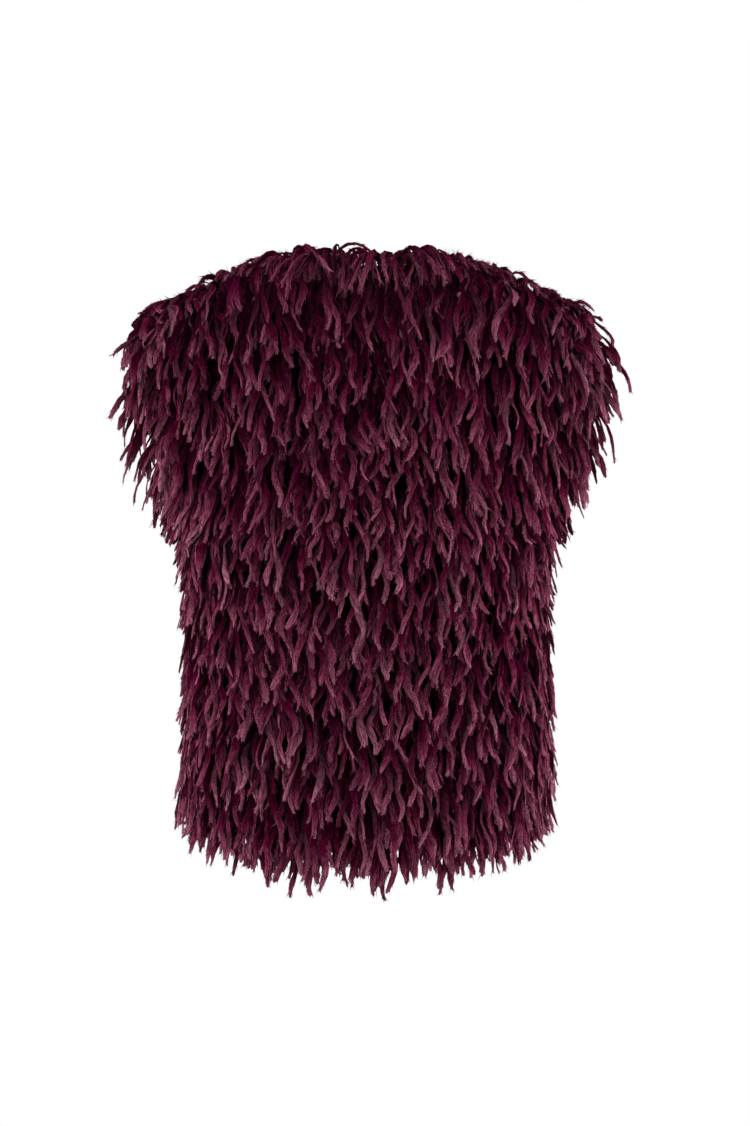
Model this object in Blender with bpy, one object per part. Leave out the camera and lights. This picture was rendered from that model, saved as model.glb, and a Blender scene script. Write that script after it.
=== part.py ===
"""Feather vest in its worn shape, hollow, with its back towards -Y. Metres, +Z up.

Three cloth panels, the back and two fronts, meet at the side and shoulder seams. Tiers of
feather fringe lie on them like shingles: each tier is a narrow tape with feather locks.
The origin lies midway between the neck ends of the shoulder seams, where the wearer carries it.

A point of the vest is given by three coordinates: across, from 0 at the centre line of the back
or of the front to 1 at the side seam or armhole; tier, from 0 at the hem, counted in steps from
one tier of fringe to the next; and out, the distance from the inner face of the cloth.
"""

import math
import random

import bmesh
import bpy
from mathutils import Vector

# Cloth and tape
CLOTH_THICKNESS = 0.002
TAPE_THICKNESS = 0.0015
SEAM_GAP = 0.0003
FRONT_OPENING = 0.002

# Heights and widths of the worn vest, to the inner face of the cloth
HEM_HEIGHT = -0.536
HEM_DIP = 0.022
UNDERARM_HEIGHT = -0.275
NECK_HALF_WIDTH = 0.090
SHOULDER_HALF_WIDTH = 0.212
SHOULDER_DROP = 0.052
BODY_SECTIONS = (
    # level, half width, depth of back, depth of front
    (0.0, 0.169, 0.113, 0.114),
    (0.5, 0.165, 0.108, 0.112),
    (1.0, 0.166, 0.114, 0.119),
)
# The neckline's lowest level, where 1 is the underarm and 2 the shoulder seam
NECK_LEVEL = {"back": 1.70, "front": 1.42}
# Roundness of the neckline, and how much softer its curve is in each tier below
NECK_ROUND = 0.8
NECK_SOFTENING = 0.25

# Roundness: 2 is an ellipse, and more is squarer
GIRTH_POWER = 2.3
SHOULDER_POWER = 2.6
RIDGE_POWER = 1.4
# How much the round of the shoulders stands out past the body, beyond the armholes
SHOULDER_ROUND = 0.095

# Feather fringe: places and lengths down the vest in tiers, widths in cells across half a panel
TIER_COUNT = 10
CELLS_TO_SIDE = 12
TAPE_START = 0.15
TAPE_END = 0.31
PANEL_ROW = 0.73
UNDERARM_ROW = 4.50
TOP_TIER = 9.40
LOCK_SPREAD = 0.80
LOCK_REACH = 1.62
HEM_LOCK_REACH = 0.95
LOCK_THICKNESS = 0.0035
LOCK_OUTER_WIDTH = 0.7
ROOT_LIFT = 0.002
RISE_PER_TIER = 0.007
LOCK_SECTIONS = (
    # tiers below the tape, share of the full width, share of the full thickness
    (0.28, 0.80, 0.8),
    (0.64, 1.00, 1.0),
    (1.08, 0.90, 1.0),
)
# Shortest pointed end of a lock, in tiers
LEAST_TIP = 0.2
# A lock is free of the tier above it from here on, and may curl away
FREE_FROM = 0.65
BODY_CURL = 0.006
LEAST_CURL = 0.2
ARMHOLE_CURL = 0.016
TOP_CURL = 0.012
# How far the locks along the armholes lean out sideways at their tips, at the shoulders
FLARE = 0.050
FLARE_START_TIER = 4.0
FLARE_START_ACROSS = 0.45
FLARE_POWER = 1.5
# Sideways sway of a lock and of its tip, as shares of a half panel, and how lengths vary
SWAY = 0.010
TIP_SWAY = 0.045
LENGTH_VARIATION = 0.12
# Short locks that stand up along the neckline
WISP_CELLS = 4.2
WISP_HEIGHT = 0.026
WISP_LEAN = 0.5
WISP_SECTIONS = (
    # share of the height, half width in cells, share of the tape's thickness
    (0.25, 0.50, 1.4),
    (0.65, 0.42, 1.4),
)
# Share of a half panel that the locks keep clear of its edges
EDGE_MARGIN = 0.004

CLOTH_COLOUR = (0.045, 0.006, 0.017, 1.0)
FEATHER_COLOUR = (0.105, 0.018, 0.040, 1.0)

PANELS = {
    # panel: the way it faces along Y, its first and last cell from the centre line
    "back": {"shape": "back", "facing": -1, "cells": (-CELLS_TO_SIDE, CELLS_TO_SIDE)},
    "front_left": {"shape": "front", "facing": 1, "cells": (-CELLS_TO_SIDE, 0)},
    "front_right": {"shape": "front", "facing": 1, "cells": (0, CELLS_TO_SIDE)},
}


def signed_power(value, power):
    """Power of a number's size, with its sign kept."""
    return math.copysign(abs(value) ** power, value)


def section(level, column):
    """One size of the body at a level from the hem, 0, to the underarm, 1, eased between the rows."""
    level = min(max(level, 0.0), 1.0)
    for low, high in zip(BODY_SECTIONS, BODY_SECTIONS[1:]):
        if level <= high[0]:
            share = (level - low[0]) / (high[0] - low[0])
            eased = share * share * (3 - 2 * share)
            return low[column] + (high[column] - low[column]) * eased
    return BODY_SECTIONS[-1][column]


def shoulder_rise(level):
    """Angle over the shoulder: 0 at the underarm and below, a quarter turn at the shoulder seam."""
    return max(level - 1.0, 0.0) * math.pi / 2


def figure_half_width(level):
    return section(level, 1) + SHOULDER_ROUND * math.sin(shoulder_rise(level))


def ridge_height(x):
    """Height of the shoulder line, which is 0 at the neck ends of the shoulder seams."""
    neck_share = (NECK_HALF_WIDTH / SHOULDER_HALF_WIDTH) ** RIDGE_POWER
    drop = SHOULDER_DROP / (1 - neck_share)
    return drop * (neck_share - (abs(x) / SHOULDER_HALF_WIDTH) ** RIDGE_POWER)


def edge_angle(level):
    """Angle round the body of the side seam, or above the underarm of the armhole's edge."""
    rise = shoulder_rise(level)
    underarm = section(1.0, 1)
    if rise == 0:
        return math.pi / 2
    edge = underarm + (SHOULDER_HALF_WIDTH - underarm) * math.sin(rise)
    return math.asin(min(1.0, edge / figure_half_width(level)) ** (GIRTH_POWER / 2))


def figure_point(panel, across, level):
    """Point of the cloth's inner face."""
    angle = across * edge_angle(level)
    rise = shoulder_rise(level)
    depth = section(level, 2 if panel["shape"] == "back" else 3)
    over = signed_power(math.cos(rise), 2 / SHOULDER_POWER)
    x = figure_half_width(level) * signed_power(math.sin(angle), 2 / GIRTH_POWER)
    y = panel["facing"] * depth * over * signed_power(math.cos(angle), 2 / GIRTH_POWER)
    if rise == 0:
        hem = HEM_HEIGHT - HEM_DIP * math.cos(angle) ** 2
        z = hem + (UNDERARM_HEIGHT - hem) * level
    else:
        up = math.sin(rise) ** (2 / SHOULDER_POWER)
        z = UNDERARM_HEIGHT + (ridge_height(x) - UNDERARM_HEIGHT) * up
    return Vector((x, y, z))


def levels_by_tier(samples=600):
    """Levels at equal steps of length along the middle of the back's shoulder, from hem to seam."""
    middle = (NECK_HALF_WIDTH + SHOULDER_HALF_WIDTH) / 2 / SHOULDER_HALF_WIDTH
    levels = [2.0 * step / samples for step in range(samples + 1)]
    points = [figure_point(PANELS["back"], middle, level) for level in levels]
    lengths = [0.0]
    for first, second in zip(points, points[1:]):
        lengths.append(lengths[-1] + (second - first).length)
    return levels, [length / lengths[-1] * TOP_TIER for length in lengths]


TIER_LEVELS, TIER_STEPS = levels_by_tier()


def top_level(panel, across, tier):
    """Level of the panel's upper edge: the shoulder seam, or the neckline's curve inside it."""
    lowest = NECK_LEVEL[panel["shape"]]
    x = figure_point(panel, across, 2.0).x
    curve = NECK_ROUND + NECK_SOFTENING * (TOP_TIER - tier)
    return 2.0 - (2.0 - lowest) * max(0.0, 1 - (x / NECK_HALF_WIDTH) ** 2) ** curve


def level_of(panel, across, tier):
    """Level of a tier. Above the underarm the tiers close up below the neckline."""
    if tier <= 0:
        return tier * TIER_LEVELS[1] / TIER_STEPS[1]
    place = next((i for i, step in enumerate(TIER_STEPS) if step >= tier), len(TIER_STEPS) - 1)
    low, high = TIER_STEPS[place - 1], TIER_STEPS[place]
    share = (tier - low) / (high - low)
    level = TIER_LEVELS[place - 1] + (TIER_LEVELS[place] - TIER_LEVELS[place - 1]) * share
    if level > 1.0:
        level = 1.0 + (level - 1.0) * (top_level(panel, across, tier) - 1.0)
    return level


def cloth_point(panel, across, tier, out):
    """Point at a distance out from the inner face of the cloth, square to it."""
    level = level_of(panel, across, tier)
    step = 1e-4
    sideways = figure_point(panel, across + step, level) - figure_point(panel, across - step, level)
    upwards = figure_point(panel, across, level + step) - figure_point(panel, across, level - step)
    outwards = sideways.cross(upwards).normalized() * -panel["facing"]
    return figure_point(panel, across, level) + outwards * out


def across_of(panel, cell):
    """Place of a cell's corner, kept clear of the side seams and of the front opening."""
    side_margin = 1 - (SEAM_GAP / 2 / section(1.0, 2)) ** (GIRTH_POWER / 2)
    across = min(max(cell / CELLS_TO_SIDE, -side_margin), side_margin)
    if panel["shape"] == "front" and cell == 0:
        opening = (FRONT_OPENING / 2 / section(1.0, 1)) ** (GIRTH_POWER / 2) / (math.pi / 2)
        across = math.copysign(opening, sum(panel["cells"]))
    return across


def panel_tiers():
    """Rows of the cloth panels: hem, both edges of each tape, a row between tapes, underarm, top."""
    rows = [0.0, UNDERARM_ROW]
    for tier in range(TIER_COUNT):
        rows += [tier + TAPE_START, tier + TAPE_END]
        if tier < TIER_COUNT - 1:
            rows.append(tier + PANEL_ROW)
    seam_margin = TOP_TIER * (SEAM_GAP / 2 / section(1.0, 2)) ** (SHOULDER_POWER / 2)
    return sorted(rows) + [TOP_TIER - seam_margin]


def cell_slab(columns, rows):
    """A closed flat slab, one unit to a cell, with its inner face at z 0 and its outer face at z 1."""
    bm = bmesh.new()
    bmesh.ops.create_grid(bm, x_segments=columns, y_segments=rows, size=0.5)
    bmesh.ops.translate(bm, vec=(0.5, 0.5, 0.0), verts=bm.verts)
    bmesh.ops.scale(bm, vec=(columns, rows, 1.0), verts=bm.verts)
    grown = bmesh.ops.extrude_face_region(bm, geom=bm.faces[:], use_keep_orig=True)
    raised = [part for part in grown["geom"] if isinstance(part, bmesh.types.BMVert)]
    bmesh.ops.translate(bm, vec=(0.0, 0.0, 1.0), verts=raised)
    bmesh.ops.recalc_face_normals(bm, faces=bm.faces[:])
    return bm


def shape_slab(bm, panel, rows, inner, outer):
    """Lays a slab on a panel, from its inner to its outer distance."""
    first_cell = panel["cells"][0]
    for vert in bm.verts:
        column, row = round(vert.co.x), round(vert.co.y)
        out = outer if vert.co.z > 0.5 else inner
        vert.co = cloth_point(panel, across_of(panel, first_cell + column), rows[row], out)
    if panel["facing"] > 0:
        bmesh.ops.reverse_faces(bm, faces=bm.faces[:])


def edge_faces(bm, row):
    """The flat slab's faces along one of its rows, by column, and each corner's side and layer."""
    faces = {}
    corners = {}
    for face in bm.faces:
        if all(abs(vert.co.y - row) < 0.5 for vert in face.verts):
            column = round(min(vert.co.x for vert in face.verts))
            faces[column] = face
            for vert in face.verts:
                corners[column, vert] = (1 if vert.co.x > column + 0.5 else -1, vert.co.z > 0.5)
    return faces, corners


def beside_armhole(across, tier):
    """Share of a lock's lean beside an armhole, from 0 on the body to 1 at the shoulder's end."""
    edge = max(0.0, (abs(across) - FLARE_START_ACROSS) / (1 - FLARE_START_ACROSS))
    height = max(0.0, (tier - FLARE_START_TIER) / (TOP_TIER - FLARE_START_TIER))
    return edge ** FLARE_POWER * height


def grow_lock(bm, face, corners, panel, cell, tier, chance):
    """Extrudes one feather lock downwards from a face of the tape's lower edge to a point."""
    middle = (across_of(panel, cell) + across_of(panel, cell + 1)) / 2
    reach = LOCK_REACH if tier > 1 else HEM_LOCK_REACH
    reach *= 1 + chance.uniform(-LENGTH_VARIATION, LENGTH_VARIATION)
    strength = chance.uniform(LEAST_CURL, 1.0)
    sway = chance.uniform(-SWAY, SWAY)
    half_width = LOCK_SPREAD / CELLS_TO_SIDE
    edges = [across_of(panel, edge) for edge in panel["cells"]]

    def place(below, out, aside):
        tip_share = max(0.0, (below - FREE_FROM) / (LOCK_REACH - FREE_FROM))
        curl = BODY_CURL * strength + ARMHOLE_CURL * beside_armhole(middle, tier)
        rise = ROOT_LIFT + RISE_PER_TIER * below + curl * tip_share ** 2
        if tier > TIER_COUNT - 1:
            rise += TOP_CURL * min(1.0, below / FREE_FROM)
        across = min(max(middle + aside, edges[0] + EDGE_MARGIN), edges[1] - EDGE_MARGIN)
        flare = math.copysign(FLARE * beside_armhole(across, tier) * tip_share, across)
        point = cloth_point(panel, across, tier - below, CLOTH_THICKNESS + SEAM_GAP + rise + out)
        return point + Vector((flare, 0.0, 0.0))

    for below, width, thickness in LOCK_SECTIONS:
        if below > reach - LEAST_TIP:
            break
        face = bmesh.ops.extrude_discrete_faces(bm, faces=[face])["faces"][0]
        for vert, (side, is_outer) in zip(face.verts, corners):
            aside = sway * below + side * half_width * width * (LOCK_OUTER_WIDTH if is_outer else 1.0)
            vert.co = place(below, LOCK_THICKNESS * thickness * is_outer, aside)
    face = bmesh.ops.extrude_discrete_faces(bm, faces=[face])["faces"][0]
    tip = place(reach, LOCK_THICKNESS / 2, sway + chance.uniform(-TIP_SWAY, TIP_SWAY))
    bmesh.ops.pointmerge(bm, verts=face.verts[:], merge_co=tip)


def grow_wisp(bm, face, corners, panel, cell, tier):
    """Extrudes one short lock upwards from the tape's upper edge, beside the neckline."""
    middle = (across_of(panel, cell) + across_of(panel, cell + 1)) / 2
    inner = CLOTH_THICKNESS + SEAM_GAP

    def place(height, out, aside):
        root = cloth_point(panel, middle + aside, tier, inner + out)
        leaning = Vector((0.0, panel["facing"] * WISP_LEAN * height, 1.0))
        return root + leaning * (WISP_HEIGHT * height)

    for height, width, thickness in WISP_SECTIONS:
        face = bmesh.ops.extrude_discrete_faces(bm, faces=[face])["faces"][0]
        for vert, (side, is_outer) in zip(face.verts, corners):
            vert.co = place(height, TAPE_THICKNESS * thickness * is_outer, side * width / CELLS_TO_SIDE)
    face = bmesh.ops.extrude_discrete_faces(bm, faces=[face])["faces"][0]
    bmesh.ops.pointmerge(bm, verts=face.verts[:], merge_co=place(1.0, 0.0, 0.0))


def material(name, colour, roughness):
    made = bpy.data.materials.new(name)
    made.use_nodes = True
    shader = made.node_tree.nodes["Principled BSDF"]
    shader.inputs["Base Color"].default_value = colour
    shader.inputs["Roughness"].default_value = roughness
    shader.inputs["Metallic"].default_value = 0.0
    return made


def add_object(name, bm, finish, collection):
    mesh = bpy.data.meshes.new(name)
    bm.to_mesh(mesh)
    bm.free()
    mesh.materials.append(finish)
    collection.objects.link(bpy.data.objects.new(name, mesh))


def make_panel(name, panel, finish, collection):
    rows = panel_tiers()
    first, last = panel["cells"]
    bm = cell_slab(last - first, len(rows) - 1)
    shape_slab(bm, panel, rows, 0.0, CLOTH_THICKNESS)
    add_object(f"{name}_panel", bm, finish, collection)


def make_fringe(name, panel, number, finish, collection):
    """One tier: a tape sewn on the panel, with a lock on every second cell, staggered by tiers."""
    rows = (number + TAPE_START, number + TAPE_END)
    first, last = panel["cells"]
    bm = cell_slab(last - first, 1)
    roots, corners = edge_faces(bm, 0)
    upper_roots, upper_corners = edge_faces(bm, 1)
    inner = CLOTH_THICKNESS + SEAM_GAP
    shape_slab(bm, panel, rows, inner, inner + TAPE_THICKNESS)
    chance = random.Random(f"{name} {number}")
    for column in range(last - first):
        if column % 2 == number % 2:
            root = roots[column]
            order = [corners[column, vert] for vert in root.verts]
            grow_lock(bm, root, order, panel, first + column, rows[0], chance)
        elif number == TIER_COUNT - 1 and abs(first + column + 0.5) < WISP_CELLS:
            root = upper_roots[column]
            order = [upper_corners[column, vert] for vert in root.verts]
            grow_wisp(bm, root, order, panel, first + column, rows[1])
    add_object(f"{name}_fringe_{number + 1:02d}", bm, finish, collection)


def main():
    for old in list(bpy.data.objects):
        bpy.data.objects.remove(old)
    collection = bpy.data.collections.new("feather_vest")
    bpy.context.scene.collection.children.link(collection)
    cloth = material("base_cloth", CLOTH_COLOUR, 0.85)
    feather = material("feather", FEATHER_COLOUR, 0.75)
    for name, panel in PANELS.items():
        make_panel(name, panel, cloth, collection)
        for number in range(TIER_COUNT):
            make_fringe(name, panel, number, feather, collection)


main()
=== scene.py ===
import math

import bmesh
import bpy
import numpy as np
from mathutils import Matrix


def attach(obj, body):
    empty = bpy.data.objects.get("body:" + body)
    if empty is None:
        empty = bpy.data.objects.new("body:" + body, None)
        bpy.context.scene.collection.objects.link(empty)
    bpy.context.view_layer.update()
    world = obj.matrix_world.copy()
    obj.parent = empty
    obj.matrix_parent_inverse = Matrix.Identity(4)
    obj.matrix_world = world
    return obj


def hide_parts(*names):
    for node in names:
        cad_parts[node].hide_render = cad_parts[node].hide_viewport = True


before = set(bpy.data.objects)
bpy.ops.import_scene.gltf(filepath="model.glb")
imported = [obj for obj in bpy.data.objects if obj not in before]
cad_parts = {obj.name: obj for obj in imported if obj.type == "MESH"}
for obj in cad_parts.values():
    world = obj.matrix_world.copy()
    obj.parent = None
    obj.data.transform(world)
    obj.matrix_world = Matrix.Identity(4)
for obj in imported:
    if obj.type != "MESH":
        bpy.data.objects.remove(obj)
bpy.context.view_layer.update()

# the cut of the worn vest, the same as in the solids, in metres
figure = {
    "hemHeight": -0.536,
    "hemDip": 0.022,  # the hem hangs lower at the centre of the back and front
    "underarmHeight": -0.275,
    "neckHalfWidth": 0.090,
    "shoulderHalfWidth": 0.212,
    "shoulderDrop": 0.052,
    "halfWidths": (0.169, 0.165, 0.166),  # at the hem, halfway and at the underarm
    "depths": {"back": (0.113, 0.108, 0.114), "front": (0.114, 0.112, 0.119)},
    "neckLevel": {"back": 1.70, "front": 1.42},  # 1 is the underarm, 2 the shoulder seam
    "neckRound": 0.8,
    "neckSoftening": 0.25,
    "girthPower": 2.3,
    "shoulderPower": 2.6,
    "ridgePower": 1.4,
    "shoulderRound": 0.095,
    "tierCount": 10,
    "topTier": 9.40,  # tiers from the hem to the shoulder seam
}

# edges are places across: 0 is the centre, -1 and 1 are the sides
panels = {
    "back": {"shape": "back", "facing": -1, "edges": (-1.0, 1.0), "seed": 11},
    "front_left": {"shape": "front", "facing": 1, "edges": (-1.0, 0.0), "seed": 23},
    "front_right": {"shape": "front", "facing": 1, "edges": (0.0, 1.0), "seed": 37},
}

flatHalfBack = figure["halfWidths"][0] * math.pi / 2  # roughly, from the centre to a side


def shareOfBack(panel):  # the panel's width as a share of the back's
    first, last = panel["edges"]
    return (last - first) / 2


def signedPower(value, power):
    return np.sign(value) * np.abs(value) ** power


def smoothStep(share):
    return share * share * (3 - 2 * share)


def bodySize(level, sizes):
    sizes = np.array(sizes)
    steps = np.clip(level, 0.0, 1.0) * (len(sizes) - 1)
    low = np.minimum(steps.astype(int), len(sizes) - 2)
    return sizes[low] + (sizes[low + 1] - sizes[low]) * smoothStep(steps - low)


def shoulderRise(level):
    return np.clip(level - 1.0, 0.0, None) * math.pi / 2


def figureHalfWidth(level):
    return bodySize(level, figure["halfWidths"]) + figure["shoulderRound"] * np.sin(shoulderRise(level))


def ridgeHeight(x):
    neckShare = (figure["neckHalfWidth"] / figure["shoulderHalfWidth"]) ** figure["ridgePower"]
    drop = figure["shoulderDrop"] / (1 - neckShare)
    return drop * (neckShare - (np.abs(x) / figure["shoulderHalfWidth"]) ** figure["ridgePower"])


def edgeAngle(level):
    rise = shoulderRise(level)
    underarm = figure["halfWidths"][-1]
    edge = underarm + (figure["shoulderHalfWidth"] - underarm) * np.sin(rise)
    ratio = np.minimum(edge / figureHalfWidth(level), 1.0)
    return np.where(rise == 0, math.pi / 2, np.arcsin(ratio ** (figure["girthPower"] / 2)))


def figurePoint(panel, across, level):  # on the inner face of the cloth
    angle = across * edgeAngle(level)
    rise = shoulderRise(level)
    girthShape = 2 / figure["girthPower"]
    shoulderShape = 2 / figure["shoulderPower"]
    over = np.abs(np.cos(rise)) ** shoulderShape
    depth = bodySize(level, figure["depths"][panel["shape"]])
    x = figureHalfWidth(level) * signedPower(np.sin(angle), girthShape)
    y = panel["facing"] * depth * over * signedPower(np.cos(angle), girthShape)
    hem = figure["hemHeight"] - figure["hemDip"] * np.cos(angle) ** 2
    below = hem + (figure["underarmHeight"] - hem) * level
    climb = np.abs(np.sin(rise)) ** shoulderShape
    above = figure["underarmHeight"] + (ridgeHeight(x) - figure["underarmHeight"]) * climb
    return np.stack([x, y, np.where(rise == 0, below, above)], axis=-1)


def levelsByTier(samples=600):  # equal steps of length over the middle of the back's shoulder
    middle = (figure["neckHalfWidth"] + figure["shoulderHalfWidth"]) / 2 / figure["shoulderHalfWidth"]
    levels = np.linspace(0.0, 2.0, samples + 1)
    points = figurePoint(panels["back"], np.full(samples + 1, middle), levels)
    steps = np.linalg.norm(np.diff(points, axis=0), axis=1)
    lengths = np.concatenate([[0.0], np.cumsum(steps)])
    return levels, lengths / lengths[-1] * figure["topTier"], lengths[-1] / figure["topTier"]


tierLevels, tierSteps, tierLength = levelsByTier()


def levelOf(panel, across, tier):
    lowSlope = tierLevels[1] / tierSteps[1]
    level = np.where(tier <= 0, tier * lowSlope, np.interp(tier, tierSteps, tierLevels))
    x = figurePoint(panel, across, np.full_like(across, 2.0))[..., 0]
    curve = figure["neckRound"] + figure["neckSoftening"] * np.clip(figure["topTier"] - tier, 0, None)
    least = 1e-9  # beside the neck, so that the power stays real
    inside = np.clip(1 - (x / figure["neckHalfWidth"]) ** 2, least, None)
    top = 2.0 - (2.0 - figure["neckLevel"][panel["shape"]]) * inside ** curve
    return np.where(level > 1.0, 1.0 + (level - 1.0) * (top - 1.0), level)


def clothPoint(panel, across, tier, out):  # the point, the way out of the cloth and the way across
    across, tier, out = np.broadcast_arrays(np.asarray(across, float), tier, out)
    level = levelOf(panel, across, tier)
    step = 1e-4
    sideways = figurePoint(panel, across + step, level) - figurePoint(panel, across - step, level)
    upwards = figurePoint(panel, across, level + step) - figurePoint(panel, across, level - step)
    outwards = np.cross(sideways, upwards) * -panel["facing"]
    outwards /= np.linalg.norm(outwards, axis=-1, keepdims=True)
    sideways /= np.linalg.norm(sideways, axis=-1, keepdims=True)
    return figurePoint(panel, across, level) + outwards * out[..., None], outwards, sideways


# camera, light and floor

camera = {
    "distance": 4.0,
    "frameHeight": 1.126,  # one millimetre of the vest to a pixel of the photograph
    "look": (0.008, -0.295),  # x and z at the middle of the frame
    "sensor": 36.0,  # millimetres
    "clipEnd": 100.0,
}


def makeCamera():
    data = bpy.data.cameras.new("camera")
    data.sensor_fit = "VERTICAL"
    data.sensor_height = camera["sensor"]
    data.lens = camera["sensor"] * camera["distance"] / camera["frameHeight"]
    data.clip_end = camera["clipEnd"]
    eye = bpy.data.objects.new("camera", data)
    eye.location = (camera["look"][0], -camera["distance"], camera["look"][1])
    eye.rotation_euler = (math.pi / 2, 0.0, 0.0)
    bpy.context.scene.collection.objects.link(eye)
    bpy.context.scene.camera = eye


lamps = {
    "key": {"place": (-1.4, -2.6, 0.1), "size": 0.8, "watts": 13.0},
    "fill": {"place": (1.8, -2.6, -0.3), "size": 1.6, "watts": 8.0},
    "top": {"place": (0.0, 0.0, 1.9), "size": 1.8, "watts": 56.0},
    "behindLeft": {"place": (-1.6, 2.7, 0.9), "size": 1.8, "watts": 50.0},
    "behindRight": {"place": (1.5, 2.8, 0.5), "size": 2.0, "watts": 40.0},
    "besideLeft": {"place": (-2.8, -0.6, -0.6), "size": 1.4, "watts": 70.0},
    "besideRight": {"place": (2.8, -0.6, -0.6), "size": 1.4, "watts": 80.0},
}
lampTarget = (0.0, 0.0, -0.3)


def aimAt(obj, target):
    direction = np.array(target) - np.array(obj.location)
    flat = math.hypot(direction[0], direction[1])
    obj.rotation_euler = (math.atan2(flat, -direction[2]), 0.0, math.atan2(-direction[0], direction[1]))


def makeLights():
    for name, settings in lamps.items():
        light = bpy.data.lights.new(name, "AREA")
        light.energy = settings["watts"]
        light.size = settings["size"]
        lamp = bpy.data.objects.new(name, light)
        lamp.location = settings["place"]
        aimAt(lamp, lampTarget)
        bpy.context.scene.collection.objects.link(lamp)


surroundings = {"colour": (1.0, 1.0, 1.0, 1.0), "ambient": 0.115}


def makeSurroundings():  # white all round, but only a little of it as light
    world = bpy.data.worlds.new("studio")
    world.use_nodes = True
    tree = world.node_tree
    tree.nodes.clear()
    seen = tree.nodes.new("ShaderNodeBackground")
    seen.inputs["Color"].default_value = surroundings["colour"]
    light = tree.nodes.new("ShaderNodeBackground")
    light.inputs["Color"].default_value = surroundings["colour"]
    light.inputs["Strength"].default_value = surroundings["ambient"]
    path = tree.nodes.new("ShaderNodeLightPath")
    mix = tree.nodes.new("ShaderNodeMixShader")
    output = tree.nodes.new("ShaderNodeOutputWorld")
    tree.links.new(path.outputs["Is Camera Ray"], mix.inputs[0])
    tree.links.new(light.outputs[0], mix.inputs[1])
    tree.links.new(seen.outputs[0], mix.inputs[2])
    tree.links.new(mix.outputs[0], output.inputs["Surface"])
    bpy.context.scene.world = world
    bpy.context.scene.view_settings.view_transform = "Standard"


ground = {
    "height": -1.38,  # below the shoulders, as for a standing wearer
    "radius": 3.4,
    "segments": 128,
    "colour": (0.86, 0.86, 0.86, 1.0),
    "roughness": 0.9,
}


def makeFloor():
    bm = bmesh.new()
    bmesh.ops.create_circle(bm, cap_ends=True, segments=ground["segments"], radius=ground["radius"])
    bmesh.ops.translate(bm, vec=(0.0, 0.0, ground["height"]), verts=bm.verts)
    mesh = bpy.data.meshes.new("floor")
    bm.to_mesh(mesh)
    bm.free()
    paint, shader = newFinish("palePaint")
    shader.inputs["Base Color"].default_value = ground["colour"]
    shader.inputs["Roughness"].default_value = ground["roughness"]
    mesh.materials.append(paint)
    floor = bpy.data.objects.new("floor", mesh)
    bpy.context.scene.collection.objects.link(floor)


# finishes

def newFinish(name):
    finish = bpy.data.materials.new(name)
    finish.use_nodes = True
    return finish, finish.node_tree.nodes["Principled BSDF"]


def addNode(tree, kind, **values):
    node = tree.nodes.new(kind)
    for name, value in values.items():
        setattr(node, name, value)
    return node


def feed(tree, socket, value):  # a fixed value or another node's output
    if isinstance(value, (int, float, tuple)):
        socket.default_value = value
    else:
        tree.links.new(value, socket)


def mathNode(tree, operation, *values):
    node = addNode(tree, "ShaderNodeMath", operation=operation)
    for socket, value in zip(node.inputs, values):
        feed(tree, socket, value)
    return node.outputs[0]


def mixColour(tree, factor, first, second, blend="MIX"):
    node = addNode(tree, "ShaderNodeMix", data_type="RGBA", blend_type=blend)
    feed(tree, node.inputs[0], factor)
    feed(tree, node.inputs[6], first)  # 6, 7 and the output 2 are its colour sockets
    feed(tree, node.inputs[7], second)
    return node.outputs[2]


def rampNode(tree, value, stops):
    node = addNode(tree, "ShaderNodeValToRGB")
    tree.links.new(value, node.inputs[0])
    elements = node.color_ramp.elements
    while len(elements) < len(stops):
        elements.new(0.5)  # its place is set below
    for element, (place, colour) in zip(elements, stops):
        element.position = place
        element.color = colour
    return node.outputs[0]


def noiseNode(tree, place, scale, detail, roughness=0.5):
    node = addNode(tree, "ShaderNodeTexNoise")
    node.inputs["Scale"].default_value = scale
    node.inputs["Detail"].default_value = detail
    node.inputs["Roughness"].default_value = roughness
    tree.links.new(place, node.inputs["Vector"])
    return node.outputs[0]


def addBump(tree, shader, height, strength, depth):
    bump = addNode(tree, "ShaderNodeBump")
    bump.inputs["Strength"].default_value = strength
    bump.inputs["Distance"].default_value = depth
    tree.links.new(height, bump.inputs["Height"])
    tree.links.new(bump.outputs[0], shader.inputs["Normal"])


def grey(value):
    return (value, value, value, 1.0)


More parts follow.
